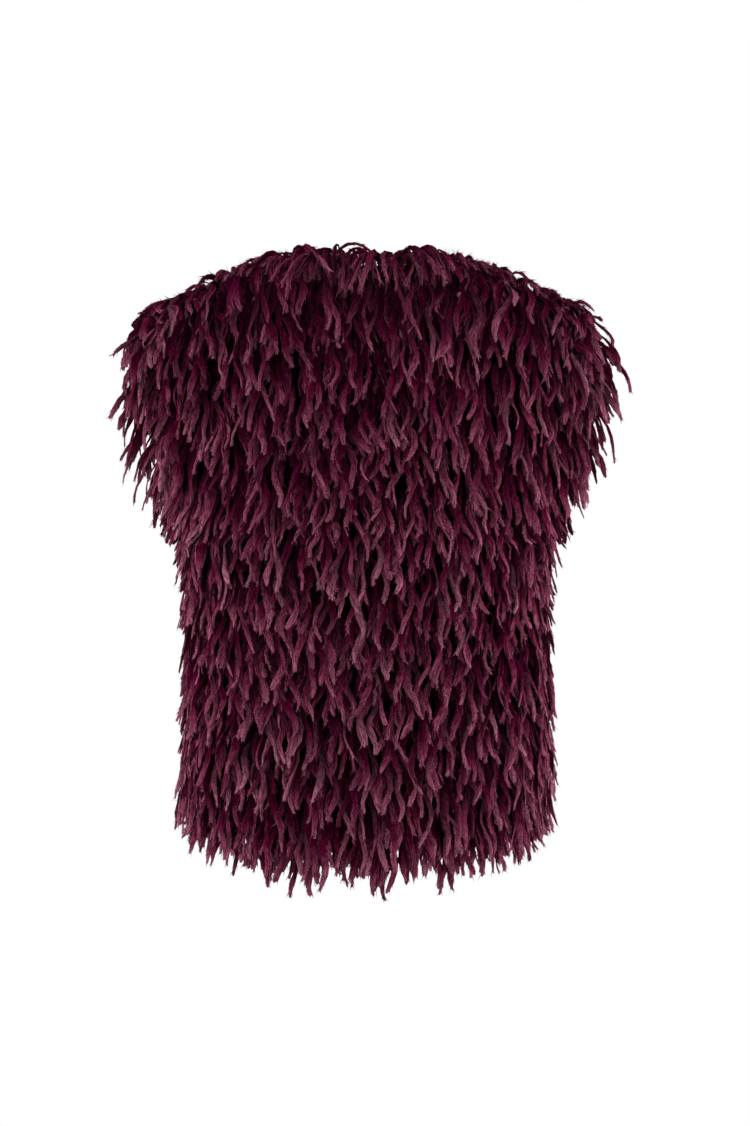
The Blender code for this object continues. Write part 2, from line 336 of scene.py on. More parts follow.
plume = {
    "colourAndShade": (  # along the feather, from its root to its tip: its burgundy, with painted shade at the root and a paler painted highlight at the tip
        (0.00, (0.034, 0.001, 0.015, 1.0)),
        (0.35, (0.125, 0.003, 0.040, 1.0)),
        (0.70, (0.240, 0.009, 0.070, 1.0)),
        (1.00, (0.420, 0.110, 0.195, 1.0)),
    ),
    # painted sheen: a pale dusty mauve in place of the fibres' sheen, also used for the painted
    # highlight at the sides
    "paintedSheen": (0.610, 0.285, 0.365, 1.0),
    "paintedSheenShare": ((0.58, grey(0.0)), (1.00, grey(0.62))),  # how much painted sheen, by the feather's shade and tone
    "deepShade": (0.074, 0.004, 0.029, 1.0),
    "deepShadeShare": ((0.15, grey(0.97)), (0.64, grey(0.0))),  # how much painted shade on feathers that lie deep, by the shade and tone too
    "edge": ((0.50, grey(0.0)), (1.00, grey(0.31))),  # painted highlight towards its sides, where the barb ends catch the light
    "rootShade": (  # painted shade at the root, where the feathers above cover it
        (0.00, (0.13, 0.11, 0.16, 1.0)),
        (0.45, (0.25, 0.21, 0.27, 1.0)),
        (0.75, (0.66, 0.64, 0.65, 1.0)),
        (0.95, grey(1.0)),
    ),
    "streaks": ((0.38, (0.30, 0.22, 0.26, 1.0)), (0.60, grey(1.0))),  # dark between the barbs
    "streakDetail": 2.0,
    "barbRows": 30.0,
    "barbSlant": 0.20,
    "barbsAcross": 4.0,
    "barbShift": 61.0,  # so that no two feathers are alike
    "flecks": ((0.36, (0.42, 0.34, 0.38, 1.0)), (0.62, grey(1.0))),
    "fleckScale": 800.0,  # to a metre
    "fleckDetail": 3.0,
    "fleckRoughness": 0.65,
    "bumpStrength": 0.5,
    "bumpDepth": 0.0006,
    "roughness": 0.70,
}


def plumeTint(tree, along, shadeAndTone, side):  # the colour of a feather without its barbs, with painted shade at its root and where it lies deep, and painted sheen and highlights where it stands out and at its sides
    body = rampNode(tree, along, plume["colourAndShade"])
    # painted sheen, painted deep shade, a painted highlight at the sides, then painted shade at the root
    body = mixColour(tree, rampNode(tree, shadeAndTone, plume["paintedSheenShare"]), body, plume["paintedSheen"])
    body = mixColour(tree, rampNode(tree, shadeAndTone, plume["deepShadeShare"]), body, plume["deepShade"])
    body = mixColour(tree, rampNode(tree, side, plume["edge"]), body, plume["paintedSheen"])
    return mixColour(tree, 1.0, body, rampNode(tree, along, plume["rootShade"]), "MULTIPLY")


def barbStreaks(tree, along, shadeAndTone, place, side):  # noise drawn out along slanting barbs
    course = mathNode(tree, "MULTIPLY_ADD", side, -plume["barbSlant"], along)
    streakPlace = addNode(tree, "ShaderNodeCombineXYZ")
    tree.links.new(mathNode(tree, "MULTIPLY", course, plume["barbRows"]), streakPlace.inputs[0])
    tree.links.new(mathNode(tree, "MULTIPLY", place, plume["barbsAcross"]), streakPlace.inputs[1])
    tree.links.new(mathNode(tree, "MULTIPLY", shadeAndTone, plume["barbShift"]), streakPlace.inputs[2])
    return noiseNode(tree, streakPlace.outputs[0], 1.0, plume["streakDetail"])


def makePlumeFinish():
    finish, shader = newFinish("burgundyPlume")
    tree = finish.node_tree
    strand = addNode(tree, "ShaderNodeAttribute", attribute_name="strand")
    split = addNode(tree, "ShaderNodeSeparateColor")
    tree.links.new(strand.outputs["Color"], split.inputs[0])
    along, shadeAndTone, place = split.outputs[0], split.outputs[1], split.outputs[2]
    side = mathNode(tree, "ABSOLUTE", mathNode(tree, "MULTIPLY_ADD", place, 2.0, -1.0))
    body = plumeTint(tree, along, shadeAndTone, side)
    streaks = barbStreaks(tree, along, shadeAndTone, place, side)
    body = mixColour(tree, 1.0, body, rampNode(tree, streaks, plume["streaks"]), "MULTIPLY")
    spot = addNode(tree, "ShaderNodeTexCoord").outputs["Object"]
    flecks = noiseNode(tree, spot, plume["fleckScale"], plume["fleckDetail"], plume["fleckRoughness"])
    body = mixColour(tree, 1.0, body, rampNode(tree, flecks, plume["flecks"]), "MULTIPLY")
    tree.links.new(body, shader.inputs["Base Color"])
    addBump(tree, shader, streaks, plume["bumpStrength"], plume["bumpDepth"])
    shader.inputs["Roughness"].default_value = plume["roughness"]
    shader.inputs["Specular IOR Level"].default_value = 0.0
    return finish


backing = {
    "colour": (0.050, 0.003, 0.024, 1.0),
    "light": (0.085, 0.008, 0.040, 1.0),
    "threads": 900.0,  # to a metre
    "patchScale": 38.0,
    "patchDetail": 4.0,
    "bumpStrength": 0.6,
    "bumpDepth": 0.0004,
    "roughness": 0.85,
}


def makeClothFinish():
    finish, shader = newFinish("wovenBacking")
    tree = finish.node_tree
    place = addNode(tree, "ShaderNodeUVMap", uv_map="cut")
    split = addNode(tree, "ShaderNodeSeparateXYZ")
    tree.links.new(place.outputs[0], split.inputs[0])
    turns = backing["threads"] * math.pi
    warp = mathNode(tree, "SINE", mathNode(tree, "MULTIPLY", split.outputs[0], turns))
    weft = mathNode(tree, "SINE", mathNode(tree, "MULTIPLY", split.outputs[1], turns))
    weave = mathNode(tree, "MULTIPLY", warp, weft)
    height = mathNode(tree, "MULTIPLY_ADD", weave, 0.5, 0.5)  # from 0 to 1
    spot = addNode(tree, "ShaderNodeTexCoord").outputs["Object"]
    patches = noiseNode(tree, spot, backing["patchScale"], backing["patchDetail"])
    shade = mathNode(tree, "MULTIPLY", height, patches)
    body = mixColour(tree, shade, backing["colour"], backing["light"])
    tree.links.new(body, shader.inputs["Base Color"])
    addBump(tree, shader, height, backing["bumpStrength"], backing["bumpDepth"])
    shader.inputs["Roughness"].default_value = backing["roughness"]
    shader.inputs["Specular IOR Level"].default_value = 0.0
    return finish


# the cloth panels

cloth = {
    "thickness": 0.0016,
    "out": 0.001,  # middle of the wall, from the solid's inner face
    "rows": 66,
    "columns": 72,  # across the whole back
    "sideMargin": 0.0001,  # across
    "openingMargin": 0.0015,  # across, half of the opening down the front
    "topMargin": 0.0005,  # of a tier
}

fold = {
    "count": 26,  # on each panel
    "depth": 0.0012,
    "across": (-0.9, 0.9),
    "lean": 0.03,  # across, for each tier
    "leanFrom": 4.0,  # tier
    "tier": (0.5, 8.0),
    "wide": (0.04, 0.11),  # across
    "tall": (1.2, 3.0),  # tiers
    "fade": 0.15,  # across, beside the seams
    "topFade": 0.15,  # across, for each tier below the top
}


def creases(panel, across, tier):  # soft uneven folds that fade out at the seams
    chance = np.random.default_rng(panel["seed"])
    depth = np.zeros_like(across)
    for _ in range(fold["count"]):
        centre = chance.uniform(*fold["across"])
        centre = centre + chance.normal(0, fold["lean"]) * (tier - fold["leanFrom"])
        height = chance.uniform(*fold["tier"])
        wide = chance.uniform(*fold["wide"])
        tall = chance.uniform(*fold["tall"])
        size = chance.uniform(-1.0, 1.0) * fold["depth"]
        depth = depth + size * np.exp(-((across - centre) / wide) ** 2 - ((tier - height) / tall) ** 2)
    edge = np.minimum(1 - np.abs(across), (figure["topTier"] - tier) * fold["topFade"])
    if panel["shape"] == "front":
        edge = np.minimum(edge, np.abs(across))
    return np.clip(depth, -fold["depth"], fold["depth"]) * np.clip(edge / fold["fade"], 0, 1)


def panelPlaces(panel, grid):  # across and tier of each point of a flat square grid
    first, last = panel["edges"]
    widest = 1 - cloth["sideMargin"]
    across = np.clip(first + (grid[:, 0] + 0.5) * (last - first), -widest, widest)
    if panel["shape"] == "front":
        margin = cloth["openingMargin"]
        across = np.where(np.abs(across) < margin, math.copysign(margin, first + last), across)
    tier = (grid[:, 1] + 0.5) * figure["topTier"]
    return across, np.clip(tier, 0.0, figure["topTier"] - cloth["topMargin"])


def makePanel(name, panel, finish):
    columns = round(cloth["columns"] * shareOfBack(panel))
    bm = bmesh.new()
    bmesh.ops.create_grid(bm, x_segments=columns, y_segments=cloth["rows"], size=0.5)
    across, tier = panelPlaces(panel, np.array([vert.co for vert in bm.verts]))
    points = clothPoint(panel, across, tier, cloth["out"] + creases(panel, across, tier))[0]
    for vert, point in zip(bm.verts, points):
        vert.co = point
    flat = bm.loops.layers.uv.new("cut")  # in metres
    cutPlaces = dict(zip(bm.verts, zip(across * flatHalfBack, tier * tierLength)))
    for face in bm.faces:
        for loop in face.loops:
            loop[flat].uv = cutPlaces[loop.vert]
    if panel["facing"] > 0:
        bmesh.ops.reverse_faces(bm, faces=bm.faces[:])
    mesh = bpy.data.meshes.new(f"{name}_cloth")
    bm.to_mesh(mesh)
    bm.free()
    mesh.shade_smooth()
    mesh.materials.append(finish)
    obj = bpy.data.objects.new(f"{name}_cloth", mesh)
    bpy.context.scene.collection.objects.link(obj)
    wall = obj.modifiers.new("wall", "SOLIDIFY")
    wall.thickness = cloth["thickness"]
    wall.offset = 0.0
    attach(obj, "root")
    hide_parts(f"{name}_panel")
    area = sum(face.area for face in mesh.polygons)
    print(f"{name} cloth: {len(mesh.polygons)} faces, {area:.4f} square metres")
    return obj


# the feathers

feather = {
    "rings": 9,  # sections of a feather after the point at its root
    "bareShare": 0.30,  # of the length, at the root
    "halfWidth": (0.0021, 0.0042),
    "rootWidth": 0.50,  # share of the full width
    "fullFrom": 0.52,  # share of the length at which it is fully wide
    "closeFrom": 0.72,  # and at which it narrows again
    "tipWidth": (0.30, 0.75),
    "uneven": (0.74, 1.22),
    "ridge": 0.0007,
    "roof": 0.26,  # the sides slope down from the ridge
    "slant": 1.0,  # how far the end is cut at a slant
    "endPoint": 1.2,
    "sharp": 140.0,  # degrees, so that only the thin sides of a feather are creased
    "turn": 0.35,
    "twist": (0.1, 0.7),
    "twistTurns": (0.6, 1.4),
    "start": 0.003,  # roots lie this far above the cloth's inner face
    "shadeAndTone": (0.6, 0.4),  # shares of how far it stands out, which paints shade and light, and of chance
    "places": (0.15, 0.50, 0.85),  # left side, ridge and right side in the finish
    "kinds": {  # width, where the part that shows starts, and the length of the loose barbs
        "hanging": {"size": 1.0, "start": 0.0, "loose": 1.0},
        "edge": {"size": 1.0, "start": 0.25, "loose": 1.0},
        "wisp": {"size": 0.70, "start": 0.45, "loose": 1.3},
    },
}

# the loose barbs along a feather's sides and at its end
barb = {
    "count": 22,
    "endWeight": 2.2,  # more of them at the end
    "length": (0.0035, 0.0075),
    "angle": (0.10, 0.45),  # to the shaft, in radians
    "lift": 0.14,
    "aside": (0.35, 1.00),  # where it starts, as a share of the half width
    "thick": 0.00042,
    "rootPlace": 0.35,  # either side of the ridge in the finish; the tips lie at the sides, where the painted highlight is strongest
    "tipPlace": 0.50,
}

bareEnd = 2  # number of the place along a feather where its bare part ends


def stepsAlong():  # places along a feather, closer together where it shows
    bare = feather["bareShare"]
    return np.concatenate([[0.0, bare / 2], np.linspace(bare, 1.0, feather["rings"] - 1)])


featherSteps = stepsAlong()


def runningSum(values):  # from the root to each place along the feather
    gaps = np.diff(featherSteps).reshape(-1, *[1] * (values.ndim - 2))
    middles = (values[:, 1:] + values[:, :-1]) / 2 * gaps
    return np.concatenate([np.zeros_like(values[:, :1]), np.cumsum(middles, axis=1)], axis=1)


def strandFrames(points, outwards, chance):  # along each feather, to its side and out of its face
    single = (len(points), 1)
    along = np.gradient(points, axis=1)
    along /= np.linalg.norm(along, axis=-1, keepdims=True)
    side = np.cross(outwards, along)
    side /= np.linalg.norm(side, axis=-1, keepdims=True)
    face = np.cross(along, side)
    turns = featherSteps * chance.uniform(*feather["twistTurns"], single) + chance.uniform(0, 1, single)
    twist = chance.uniform(*feather["twist"], single) * np.sin(2 * math.pi * turns)
    turn = (chance.normal(0, feather["turn"], single) + twist)[..., None]
    turnedSide = side * np.cos(turn) + face * np.sin(turn)
    turnedFace = face * np.cos(turn) - side * np.sin(turn)
    return along, turnedSide, turnedFace


def vaneWidth(steps, tipWidth):  # share of the full half width along the feather
    grow = smoothStep(np.clip(steps / feather["fullFrom"], 0, 1))
    grow = feather["rootWidth"] + (1 - feather["rootWidth"]) * grow
    close = np.clip((steps - feather["closeFrom"]) / (1 - feather["closeFrom"]), 0, 1)
    return grow * (1 - (1 - tipWidth) * close * close)


def featherFaces():  # one closed skin: root point, rings of left edge, ridge and right edge, end point
    end = 1 + 3 * feather["rings"]
    faces = [(0, 1, 2), (0, 2, 3), (0, 3, 1)]
    for left in range(1, end - 3, 3):
        for corner, following in ((0, 1), (1, 2), (2, 0)):
            here, there = left + corner, left + following
            faces += [(here, here + 3, there), (there, here + 3, there + 3)]
    left, ridge, right = end - 3, end - 2, end - 1
    faces += [(left, end, ridge), (ridge, end, right), (right, end, left)]
    return np.array(faces)


def repeatFaces(faces, count, pointsEach):
    return (faces[None] + (np.arange(count) * pointsEach)[:, None, None]).reshape(-1, 3)


def spikes(root, tip, aside, thick):  # closed spikes of four faces
    other = np.cross(tip - root, aside)
    other /= np.linalg.norm(other, axis=-1, keepdims=True)
    corners = [root + aside * thick, root + other * thick, root - aside * thick, tip]
    faces = np.array([(0, 1, 3), (1, 2, 3), (2, 0, 3), (0, 2, 1)])
    return np.stack(corners, axis=1).reshape(-1, 3), repeatFaces(faces, len(root), 4)


def joinGroups(groups):  # each has points, triangles and strand values
    points, triangles, strands = zip(*groups)
    starts = np.cumsum([0] + [len(each) for each in points[:-1]])
    triangles = [each + start for each, start in zip(triangles, starts)]
    return np.concatenate(points), np.concatenate(triangles), np.concatenate(strands)


def growBarbs(points, frames, half, steps, shadeAndTone, loose, chance):
    count, places = points.shape[:2]
    shape = (count, barb["count"])
    along, side, face = frames
    weights = np.ones(places - bareEnd)
    weights[-1] = barb["endWeight"]
    place = chance.choice(np.arange(bareEnd, places), shape, p=weights / weights.sum())
    which = np.arange(count)[:, None]
    back = chance.uniform(0, 1, shape)[..., None]
    base = points[which, place] * (1 - back) + points[which, place - 1] * back
    way = chance.choice((-1.0, 1.0), shape)
    aside = chance.uniform(*barb["aside"], shape) * half[which, place]
    root = base + side[which, place] * (aside * way)[..., None]
    root = root - face[which, place] * (aside * feather["roof"])[..., None]
    angle = chance.uniform(*barb["angle"], shape)
    forward = np.cos(angle)[..., None]
    outward = (np.sin(angle) * way)[..., None]
    course = along[which, place] * forward + side[which, place] * outward
    across = side[which, place] * forward - along[which, place] * outward
    course = course + face[which, place] * chance.normal(0, barb["lift"], shape)[..., None]
    length = chance.uniform(*barb["length"], shape) * loose
    tip = root + course * length[..., None]
    flat = [each.reshape(-1, 3) for each in (root, tip, across)]
    spikePoints, triangles = spikes(*flat, barb["thick"])
    ridge = feather["places"][1]
    strand = np.ones((count, barb["count"], 4, 4))
    strand[..., 0] = np.broadcast_to(steps, points.shape[:2])[which, place][..., None]
    strand[..., 1] = shadeAndTone[:, :, None]
    strand[..., 2] = (ridge + barb["tipPlace"] * way)[..., None]
    strand[..., :3, 2] = (ridge + barb["rootPlace"] * way)[..., None]
    return spikePoints, triangles, strand.reshape(-1, 4)


def growFeathers(points, outwards, standing, kind, chance):
    kind = feather["kinds"][kind]
    count = len(points)
    single = (count, 1)
    frames = strandFrames(points, outwards, chance)
    along, side, face = frames
    steps = kind["start"] + (1 - kind["start"]) * featherSteps[None, :]
    byStanding, byChance = feather["shadeAndTone"]
    shadeAndTone = byStanding * standing + chance.uniform(0, byChance, single)  # painted shade and light: those that lie deep are darker, those that stand out lighter
    half = chance.uniform(*feather["halfWidth"], single) * kind["size"]
    half = half * vaneWidth(steps, chance.uniform(*feather["tipWidth"], single))
    slope = face * half[..., None] * feather["roof"]
    left = points - side * (half * chance.uniform(*feather["uneven"], half.shape))[..., None] - slope
    right = points + side * (half * chance.uniform(*feather["uneven"], half.shape))[..., None] - slope
    ridge = points + face * feather["ridge"]
    slant = chance.uniform(-feather["slant"], feather["slant"], single) * half[:, -1:]
    left[:, -1] += along[:, -1] * slant
    right[:, -1] -= along[:, -1] * slant
    rings = np.stack([left, ridge, right], axis=2)[:, 1:].reshape(count, -1, 3)
    end = points[:, -1:] + along[:, -1:] * half[:, -1:, None] * feather["endPoint"]
    skin = np.concatenate([points[:, :1], rings, end], axis=1)
    perFeather = skin.shape[1]
    ringSteps = np.repeat(steps[:, 1:], 3, axis=1)
    places = feather["places"]
    strand = np.ones((count, perFeather, 4))  # along, tone and place across, for the finish
    strand[..., 0] = np.concatenate([steps[:, :1], ringSteps, steps[:, -1:]], axis=1)
    strand[..., 1] = shadeAndTone
    strand[..., 2] = np.concatenate([places[1:2], np.tile(places, feather["rings"]), places[2:]])
    triangles = repeatFaces(featherFaces(), count, perFeather)
    vane = skin.reshape(-1, 3), triangles, strand.reshape(-1, 4)
    return joinGroups([vane, growBarbs(points, frames, half, steps, shadeAndTone, kind["loose"], chance)])


# where the feathers are sewn on

row = {
    "perTier": 4,
    "count": 52,  # feathers across the whole back
    "start": 0.15,  # of a tier
    "topRows": 2,  # in the last tier, by the neck
    "topSpacing": 0.12,
    "topMargin": 0.02,  # of a tier
    "within": 0.992,  # of the panel's width
    "unevenAcross": (-0.4, 0.4),  # of the space between two feathers
    "unevenTier": (-0.15, 0.15),
}

# more feathers at the hem, the armholes and the front opening
edging = {
    "hem": {"count": 130, "tier": (0.02, 0.16)},  # counts are for the whole back
    "armhole": {"count": 34, "from": 4, "across": (0.80, 0.99), "tier": (0.1, 1.0)},  # from that tier up
    "opening": {"count": 8, "across": (0.008, 0.05), "tier": (0.05, 1.0)},  # on each front
    "topMargin": 0.03,  # of a tier
}


def rootPlaces(panel, number, chance):
    first, last = panel["edges"]
    count = round(row["count"] * shareOfBack(panel))
    top = number == figure["tierCount"] - 1
    across = []
    tier = []
    for line in range(row["topRows"] if top else row["perTier"]):
        start = number + row["start"] + (line * row["topSpacing"] if top else line / row["perTier"])
        shift = chance.uniform(0, 1)
        places = (np.arange(count) + shift + chance.uniform(*row["unevenAcross"], count)) / count
        across.append(first + (places % 1.0) * (last - first))
        tier.append(np.full(count, start) + chance.uniform(*row["unevenTier"], count))
    tier = np.minimum(np.concatenate(tier), figure["topTier"] - row["topMargin"])
    across = signedPower(np.concatenate(across), figure["girthPower"] / 2)  # evenly over the width
    return across * row["within"], tier


def edgePlaces(panel, number, chance):
    first, last = panel["edges"]
    share = shareOfBack(panel)
    sides = [side for side in (-1, 1) if first <= side <= last]
    hem, armhole, opening = edging["hem"], edging["armhole"], edging["opening"]
    across = [np.zeros(0)]
    tier = [np.zeros(0)]
    if number == 0:
        across.append(chance.uniform(first, last, round(hem["count"] * share)) * row["within"])
        tier.append(chance.uniform(*hem["tier"], len(across[-1])))
    if number >= armhole["from"]:
        beside = chance.uniform(*armhole["across"], round(armhole["count"] * share))
        across.append(beside * chance.choice(sides, len(beside)))
        tier.append(number + chance.uniform(*armhole["tier"], len(beside)))
    if panel["shape"] == "front":
        beside = chance.uniform(*opening["across"], opening["count"])
        across.append(beside * sides[0])
        tier.append(number + chance.uniform(*opening["tier"], len(beside)))
    highest = figure["topTier"] - edging["topMargin"]
    return np.concatenate(across), np.minimum(np.concatenate(tier), highest)


# how the feathers hang

hang = {
    "length": {"hanging": (0.065, 0.097), "edge": (0.042, 0.082)},
    "hemLength": (0.031, 0.036),  # below the cloth at least, and what chance adds
    "hemChance": 1.6,  # power, so that few are long
    "hemSides": 0.040,  # shorter at the sides
    "hemLimits": (0.030, 0.100),
    "rise": (0.08, 0.38),  # away from the cloth, in radians
    "riseFade": 1.5,  # less of it towards the tip
    "rootAngle": (0.10, 0.40),  # more of it at the root
    "settle": 0.20,  # share of the length in which it bends down
    "tipAngle": {"hanging": (-0.30, 0.45), "edge": (-0.25, 0.85)},
    "armholeAngle": 0.15,
    "standing": (0.6, 0.4),  # shares of its lock's chance and its own
    "standOff": 0.026,  # furthest from the cloth
    "flank": (0.55, 0.45),  # where across the sides start, and the width in which they grow
    "flankFlatter": 0.65,
    "seam": (8.4, 1.2),  # tier from which the shoulder's top lies flatter, and how soon
    "seamFlatter": 0.9,
    "lean": 0.08,
    "bend": 0.22,
    "bendFrom": 0.3,  # of the length
    "hookShare": 0.20,
    "hook": (0.4, 1.1),
    "hookFrom": (0.45, 0.55),  # of the length, and the share in which it grows
    "wave": (0.32, 1.00),
    "waveTurns": (1.1, 2.1),
    "mostAside": 0.56,  # from straight down, in radians
    "hemStraight": (0.60, 4),  # share of it at the hem, and the tiers over which a whole share is added
    "armholeStraight": 0.6,
}

locks = {  # neighbours hang together in locks
    "width": 0.024,
    "pull": 0.52,
    "curve": 1.5,
    "shift": 0.37,  # of a lock, from row to row
    "most": 1000,  # to a row, for numbering them
}

flare = {  # feathers stand out beside the armholes
    "size": 0.062,
    "across": 0.45,  # where it starts
    "curve": 1.4,
    "tier": (4.6, 3.2),  # where it starts, and the tiers in which it grows
    "seam": (8.5, 0.8, 0.68),  # the same beside the shoulder seam, and the share that is lost there
    "bulge": (0.50, 1.14),
    "sides": (0.97, 0.96),  # left and right
}

paintedLight = {  # painted light, added to how far a feather stands out: lighter towards the hem and darker towards the neck, lighter at the lower sides and beside the armholes
    "hem": 0.14,
    "sides": 0.32,
    "sidesTo": 6.5,  # tier
    "armhole": 0.30,
}


def besideArmhole(across, tier):
    start, growth = flare["tier"]
    seamStart, seamGrowth, seamLoss = flare["seam"]
    edge = np.clip((np.abs(across) - flare["across"]) / (1 - flare["across"]), 0, 1)
    height = np.clip((tier - start) / growth, 0, 1)
    seam = np.clip((tier - seamStart) / seamGrowth, 0, 1)
    return edge ** flare["curve"] * smoothStep(height) * (1 - seamLoss * seam)


def lockPlaces(across, tier, chance):  # each feather's lock, and its place from the middle of it
    line = np.floor(tier * row["perTier"])
    place = (across + 1) * flatHalfBack / locks["width"] + chance.uniform(0, 1)
    place = place + line * locks["shift"]
    number = np.floor(place)
    lock = np.unique(line * locks["most"] + number, return_inverse=True)[1]
    return lock, place - number - 0.5


def hangLength(across, tier, kind, spread):
    length = spread(*hang["length"][kind])
    least, more = hang["hemLength"]
    hemLength = tier * tierLength + least + more * spread(0, 1) ** hang["hemChance"]
    hemLength = np.clip(hemLength - hang["hemSides"] * across ** 2, *hang["hemLimits"])
    return np.where(tier < 1.0, hemLength, length)


def hangLift(standing, flank, armhole, tier, kind, spread):  # angle away from the cloth
    steps = featherSteps[None, :]
    seamFrom, seamGrowth = hang["seam"]
    seam = np.clip((tier - seamFrom) * seamGrowth, 0, hang["seamFlatter"])
    low, high = hang["rise"]
    lift = (low + (high - low) * standing) * (hang["riseFade"] - steps)
    lift = lift * (1 - hang["flankFlatter"] * flank) * (1 - seam)
    lift = lift + spread(*hang["rootAngle"]) * np.exp(-steps / hang["settle"])
    return lift + spread(*hang["tipAngle"][kind]) * steps ** 2 + hang["armholeAngle"] * armhole * steps


def hangAside(tier, spread, chance):  # angle to the side
    steps = featherSteps[None, :]
    lean = chance.normal(0, hang["lean"], tier.shape)
    bend = chance.normal(0, hang["bend"], tier.shape)
    hooked = spread(0, 1) < hang["hookShare"]
    hook = np.where(hooked, spread(*hang["hook"]) * np.sign(spread(-1, 1)), 0.0)
    hookFrom, hookGrowth = hang["hookFrom"]
    wave = spread(*hang["wave"])
    turns = spread(*hang["waveTurns"]) * steps + spread(0, 1)
    aside = lean + bend * (steps - hang["bendFrom"])
    aside = aside + hook * np.clip((steps - hookFrom) / hookGrowth, 0, 1)
    aside = aside + wave * np.sin(2 * math.pi * turns)
    aside = hang["mostAside"] * np.tanh(aside / hang["mostAside"])
    hemShare, hemTiers = hang["hemStraight"]
    return aside * np.clip(hemShare + tier / hemTiers, 0, 1)


def hangingPaths(panel, acrossEach, tierEach, kind, chance):
    steps = featherSteps[None, :]
    across = acrossEach[:, None]
    tier = tierEach[:, None]

    def spread(low, high):
        return chance.uniform(low, high, tier.shape)

    length = hangLength(across, tier, kind, spread)
    armhole = besideArmhole(across, tier)
    flankFrom, flankWidth = hang["flank"]
    flank = np.clip((np.abs(across) - flankFrom) / flankWidth, 0, 1)
    lock, fromMiddle = lockPlaces(acrossEach, tierEach, chance)
    byLock, byChance = hang["standing"]
    standing = byLock * chance.uniform(0, 1, lock.max() + 1)[lock][:, None] + byChance * spread(0, 1)
    lift = hangLift(standing, flank, armhole, tier, kind, spread)
    aside = hangAside(tier, spread, chance)
    rise = length * runningSum(np.sin(lift))
    out = feather["start"] + hang["standOff"] * np.tanh(rise / hang["standOff"])
    fallen = length * runningSum(np.cos(lift) * np.cos(aside))
    over = length * runningSum(np.cos(lift) * np.sin(aside)) * (1 - hang["armholeStraight"] * armhole)
    over = over - fromMiddle[:, None] * locks["width"] * locks["pull"] * steps ** locks["curve"]
    points, outwards, sideways = clothPoint(panel, across, tier - fallen / tierLength, out)
    points = points + sideways * over[..., None]
    bulge = (1 - (1 - steps) ** 2) * spread(*flare["bulge"])  # outwards first, then down
    left, right = flare["sides"]
    points[..., 0] += flare["size"] * armhole * bulge * np.where(across < 0, -left, right)
    # painted light: lighter towards the hem and darker towards the neck, lighter at the lower sides and
    # beside the armholes
    lightPainted = paintedLight["hem"] * (0.5 - tier / figure["topTier"]) + paintedLight["armhole"] * armhole
    lightPainted = lightPainted + paintedLight["sides"] * flank * np.clip(1 - tier / paintedLight["sidesTo"], 0, 1)
    return points, outwards, standing + lightPainted


# short feathers that stand up along the neckline and the shoulders and curl over

wisp = {
    "count": 310,  # across the whole back
    "length": (0.024, 0.052),
    "within": (0.55, 0.96),  # of the width, for those nearer the neck and for the rest
    "nearShare": 0.40,
    "below": (0.22, 0.03),  # of a tier, under the top edge
    "standing": (0.05, 0.75),
    "turnOver": 1.12,
    "turnCurve": 0.8,
    "wayward": 0.4,  # some lean to the other side
    "middleMore": 0.75,
    "shoulderLength": 0.72,  # of the length by the neck
    "faceUp": 0.6,
    "rising": ((-0.6, 0.6), (-0.1, 0.6), (0.6, 1.0)),  # aside, outwards and up
    "falling": ((-0.5, 0.5), (-0.2, 0.5), (-1.5, -0.6)),
    "shoulderRising": ((-0.1, 0.6), (-0.5, 0.7), (0.5, 1.0)),  # the same beyond the neck
    "shoulderFalling": ((-0.1, 0.7), (-0.7, 0.9), (-1.4, -0.5)),
}


def wispPaths(panel, chance):
    count = round(wisp["count"] * shareOfBack(panel))
    near, far = wisp["within"]
    across = chance.uniform(*panel["edges"], count)
    across = across * np.where(chance.uniform(0, 1, count) < wisp["nearShare"], near, far)
    lowest, highest = (figure["topTier"] - below for below in wisp["below"])
    tier = chance.uniform(lowest, highest, count)
    root = clothPoint(panel, across, tier, feather["start"])[0]

    def heading(ranges):
        way = np.sign(across + chance.normal(0, wisp["wayward"], count))
        aside, outwards, up = (chance.uniform(low, high, count) for low, high in ranges)
        return np.stack([aside * way, outwards * panel["facing"], up], axis=-1)[:, None]

    fromNeck = np.abs(root[:, 0]) / figure["neckHalfWidth"]
    beyond = (fromNeck > 1)[:, None, None]
    rising = np.where(beyond, heading(wisp["shoulderRising"]), heading(wisp["rising"]))
    falling = np.where(beyond, heading(wisp["shoulderFalling"]), heading(wisp["falling"]))
    share = np.clip(featherSteps[None, :, None] * wisp["turnOver"], 0, 1) ** wisp["turnCurve"]
    course = rising * (1 - share) + falling * share
    course /= np.linalg.norm(course, axis=-1, keepdims=True)
    length = chance.uniform(*wisp["length"], count)[:, None, None]
    middle = np.clip(1 - fromNeck ** 2, 0, 1)[:, None, None]  # longest where the neckline is lowest
    length = length * np.where(beyond, wisp["shoulderLength"], 1 + wisp["middleMore"] * middle)
    points = root[:, None] + length * runningSum(course)
    outwards = np.broadcast_to([0.0, panel["facing"], wisp["faceUp"]], points.shape)
    return points, outwards, chance.uniform(*wisp["standing"], (count, 1))


# fine hairs of down, along the neckline and between the feathers

down = {
    "thick": 0.0004,
    "neck": {
        "count": 700,  # across the whole back
        "within": 0.48,
        "tiers": (-0.20, -0.02),  # from the top edge
        "lying": False,
        "outwards": (0.3, 1.0),
        "sideways": 0.6,
        "upwards": (0.1, 1.0),
        "length": (0.006, 0.018),
        "along": 0.8,
        "shadeAndTone": (0.1, 0.8),
    },
    "between": {
        "count": 1300,  # in each tier across the whole back
        "within": 0.985,
        "tiers": (0.1, 1.0),  # from the tier's start
        "lying": True,  # down along the cloth
        "outwards": (0.15, 0.50),
        "sideways": 0.5,
        "upwards": (-1.2, -0.2),
        "length": (0.010, 0.024),
        "along": 0.55,
        "shadeAndTone": (0.05, 0.6),
    },
}


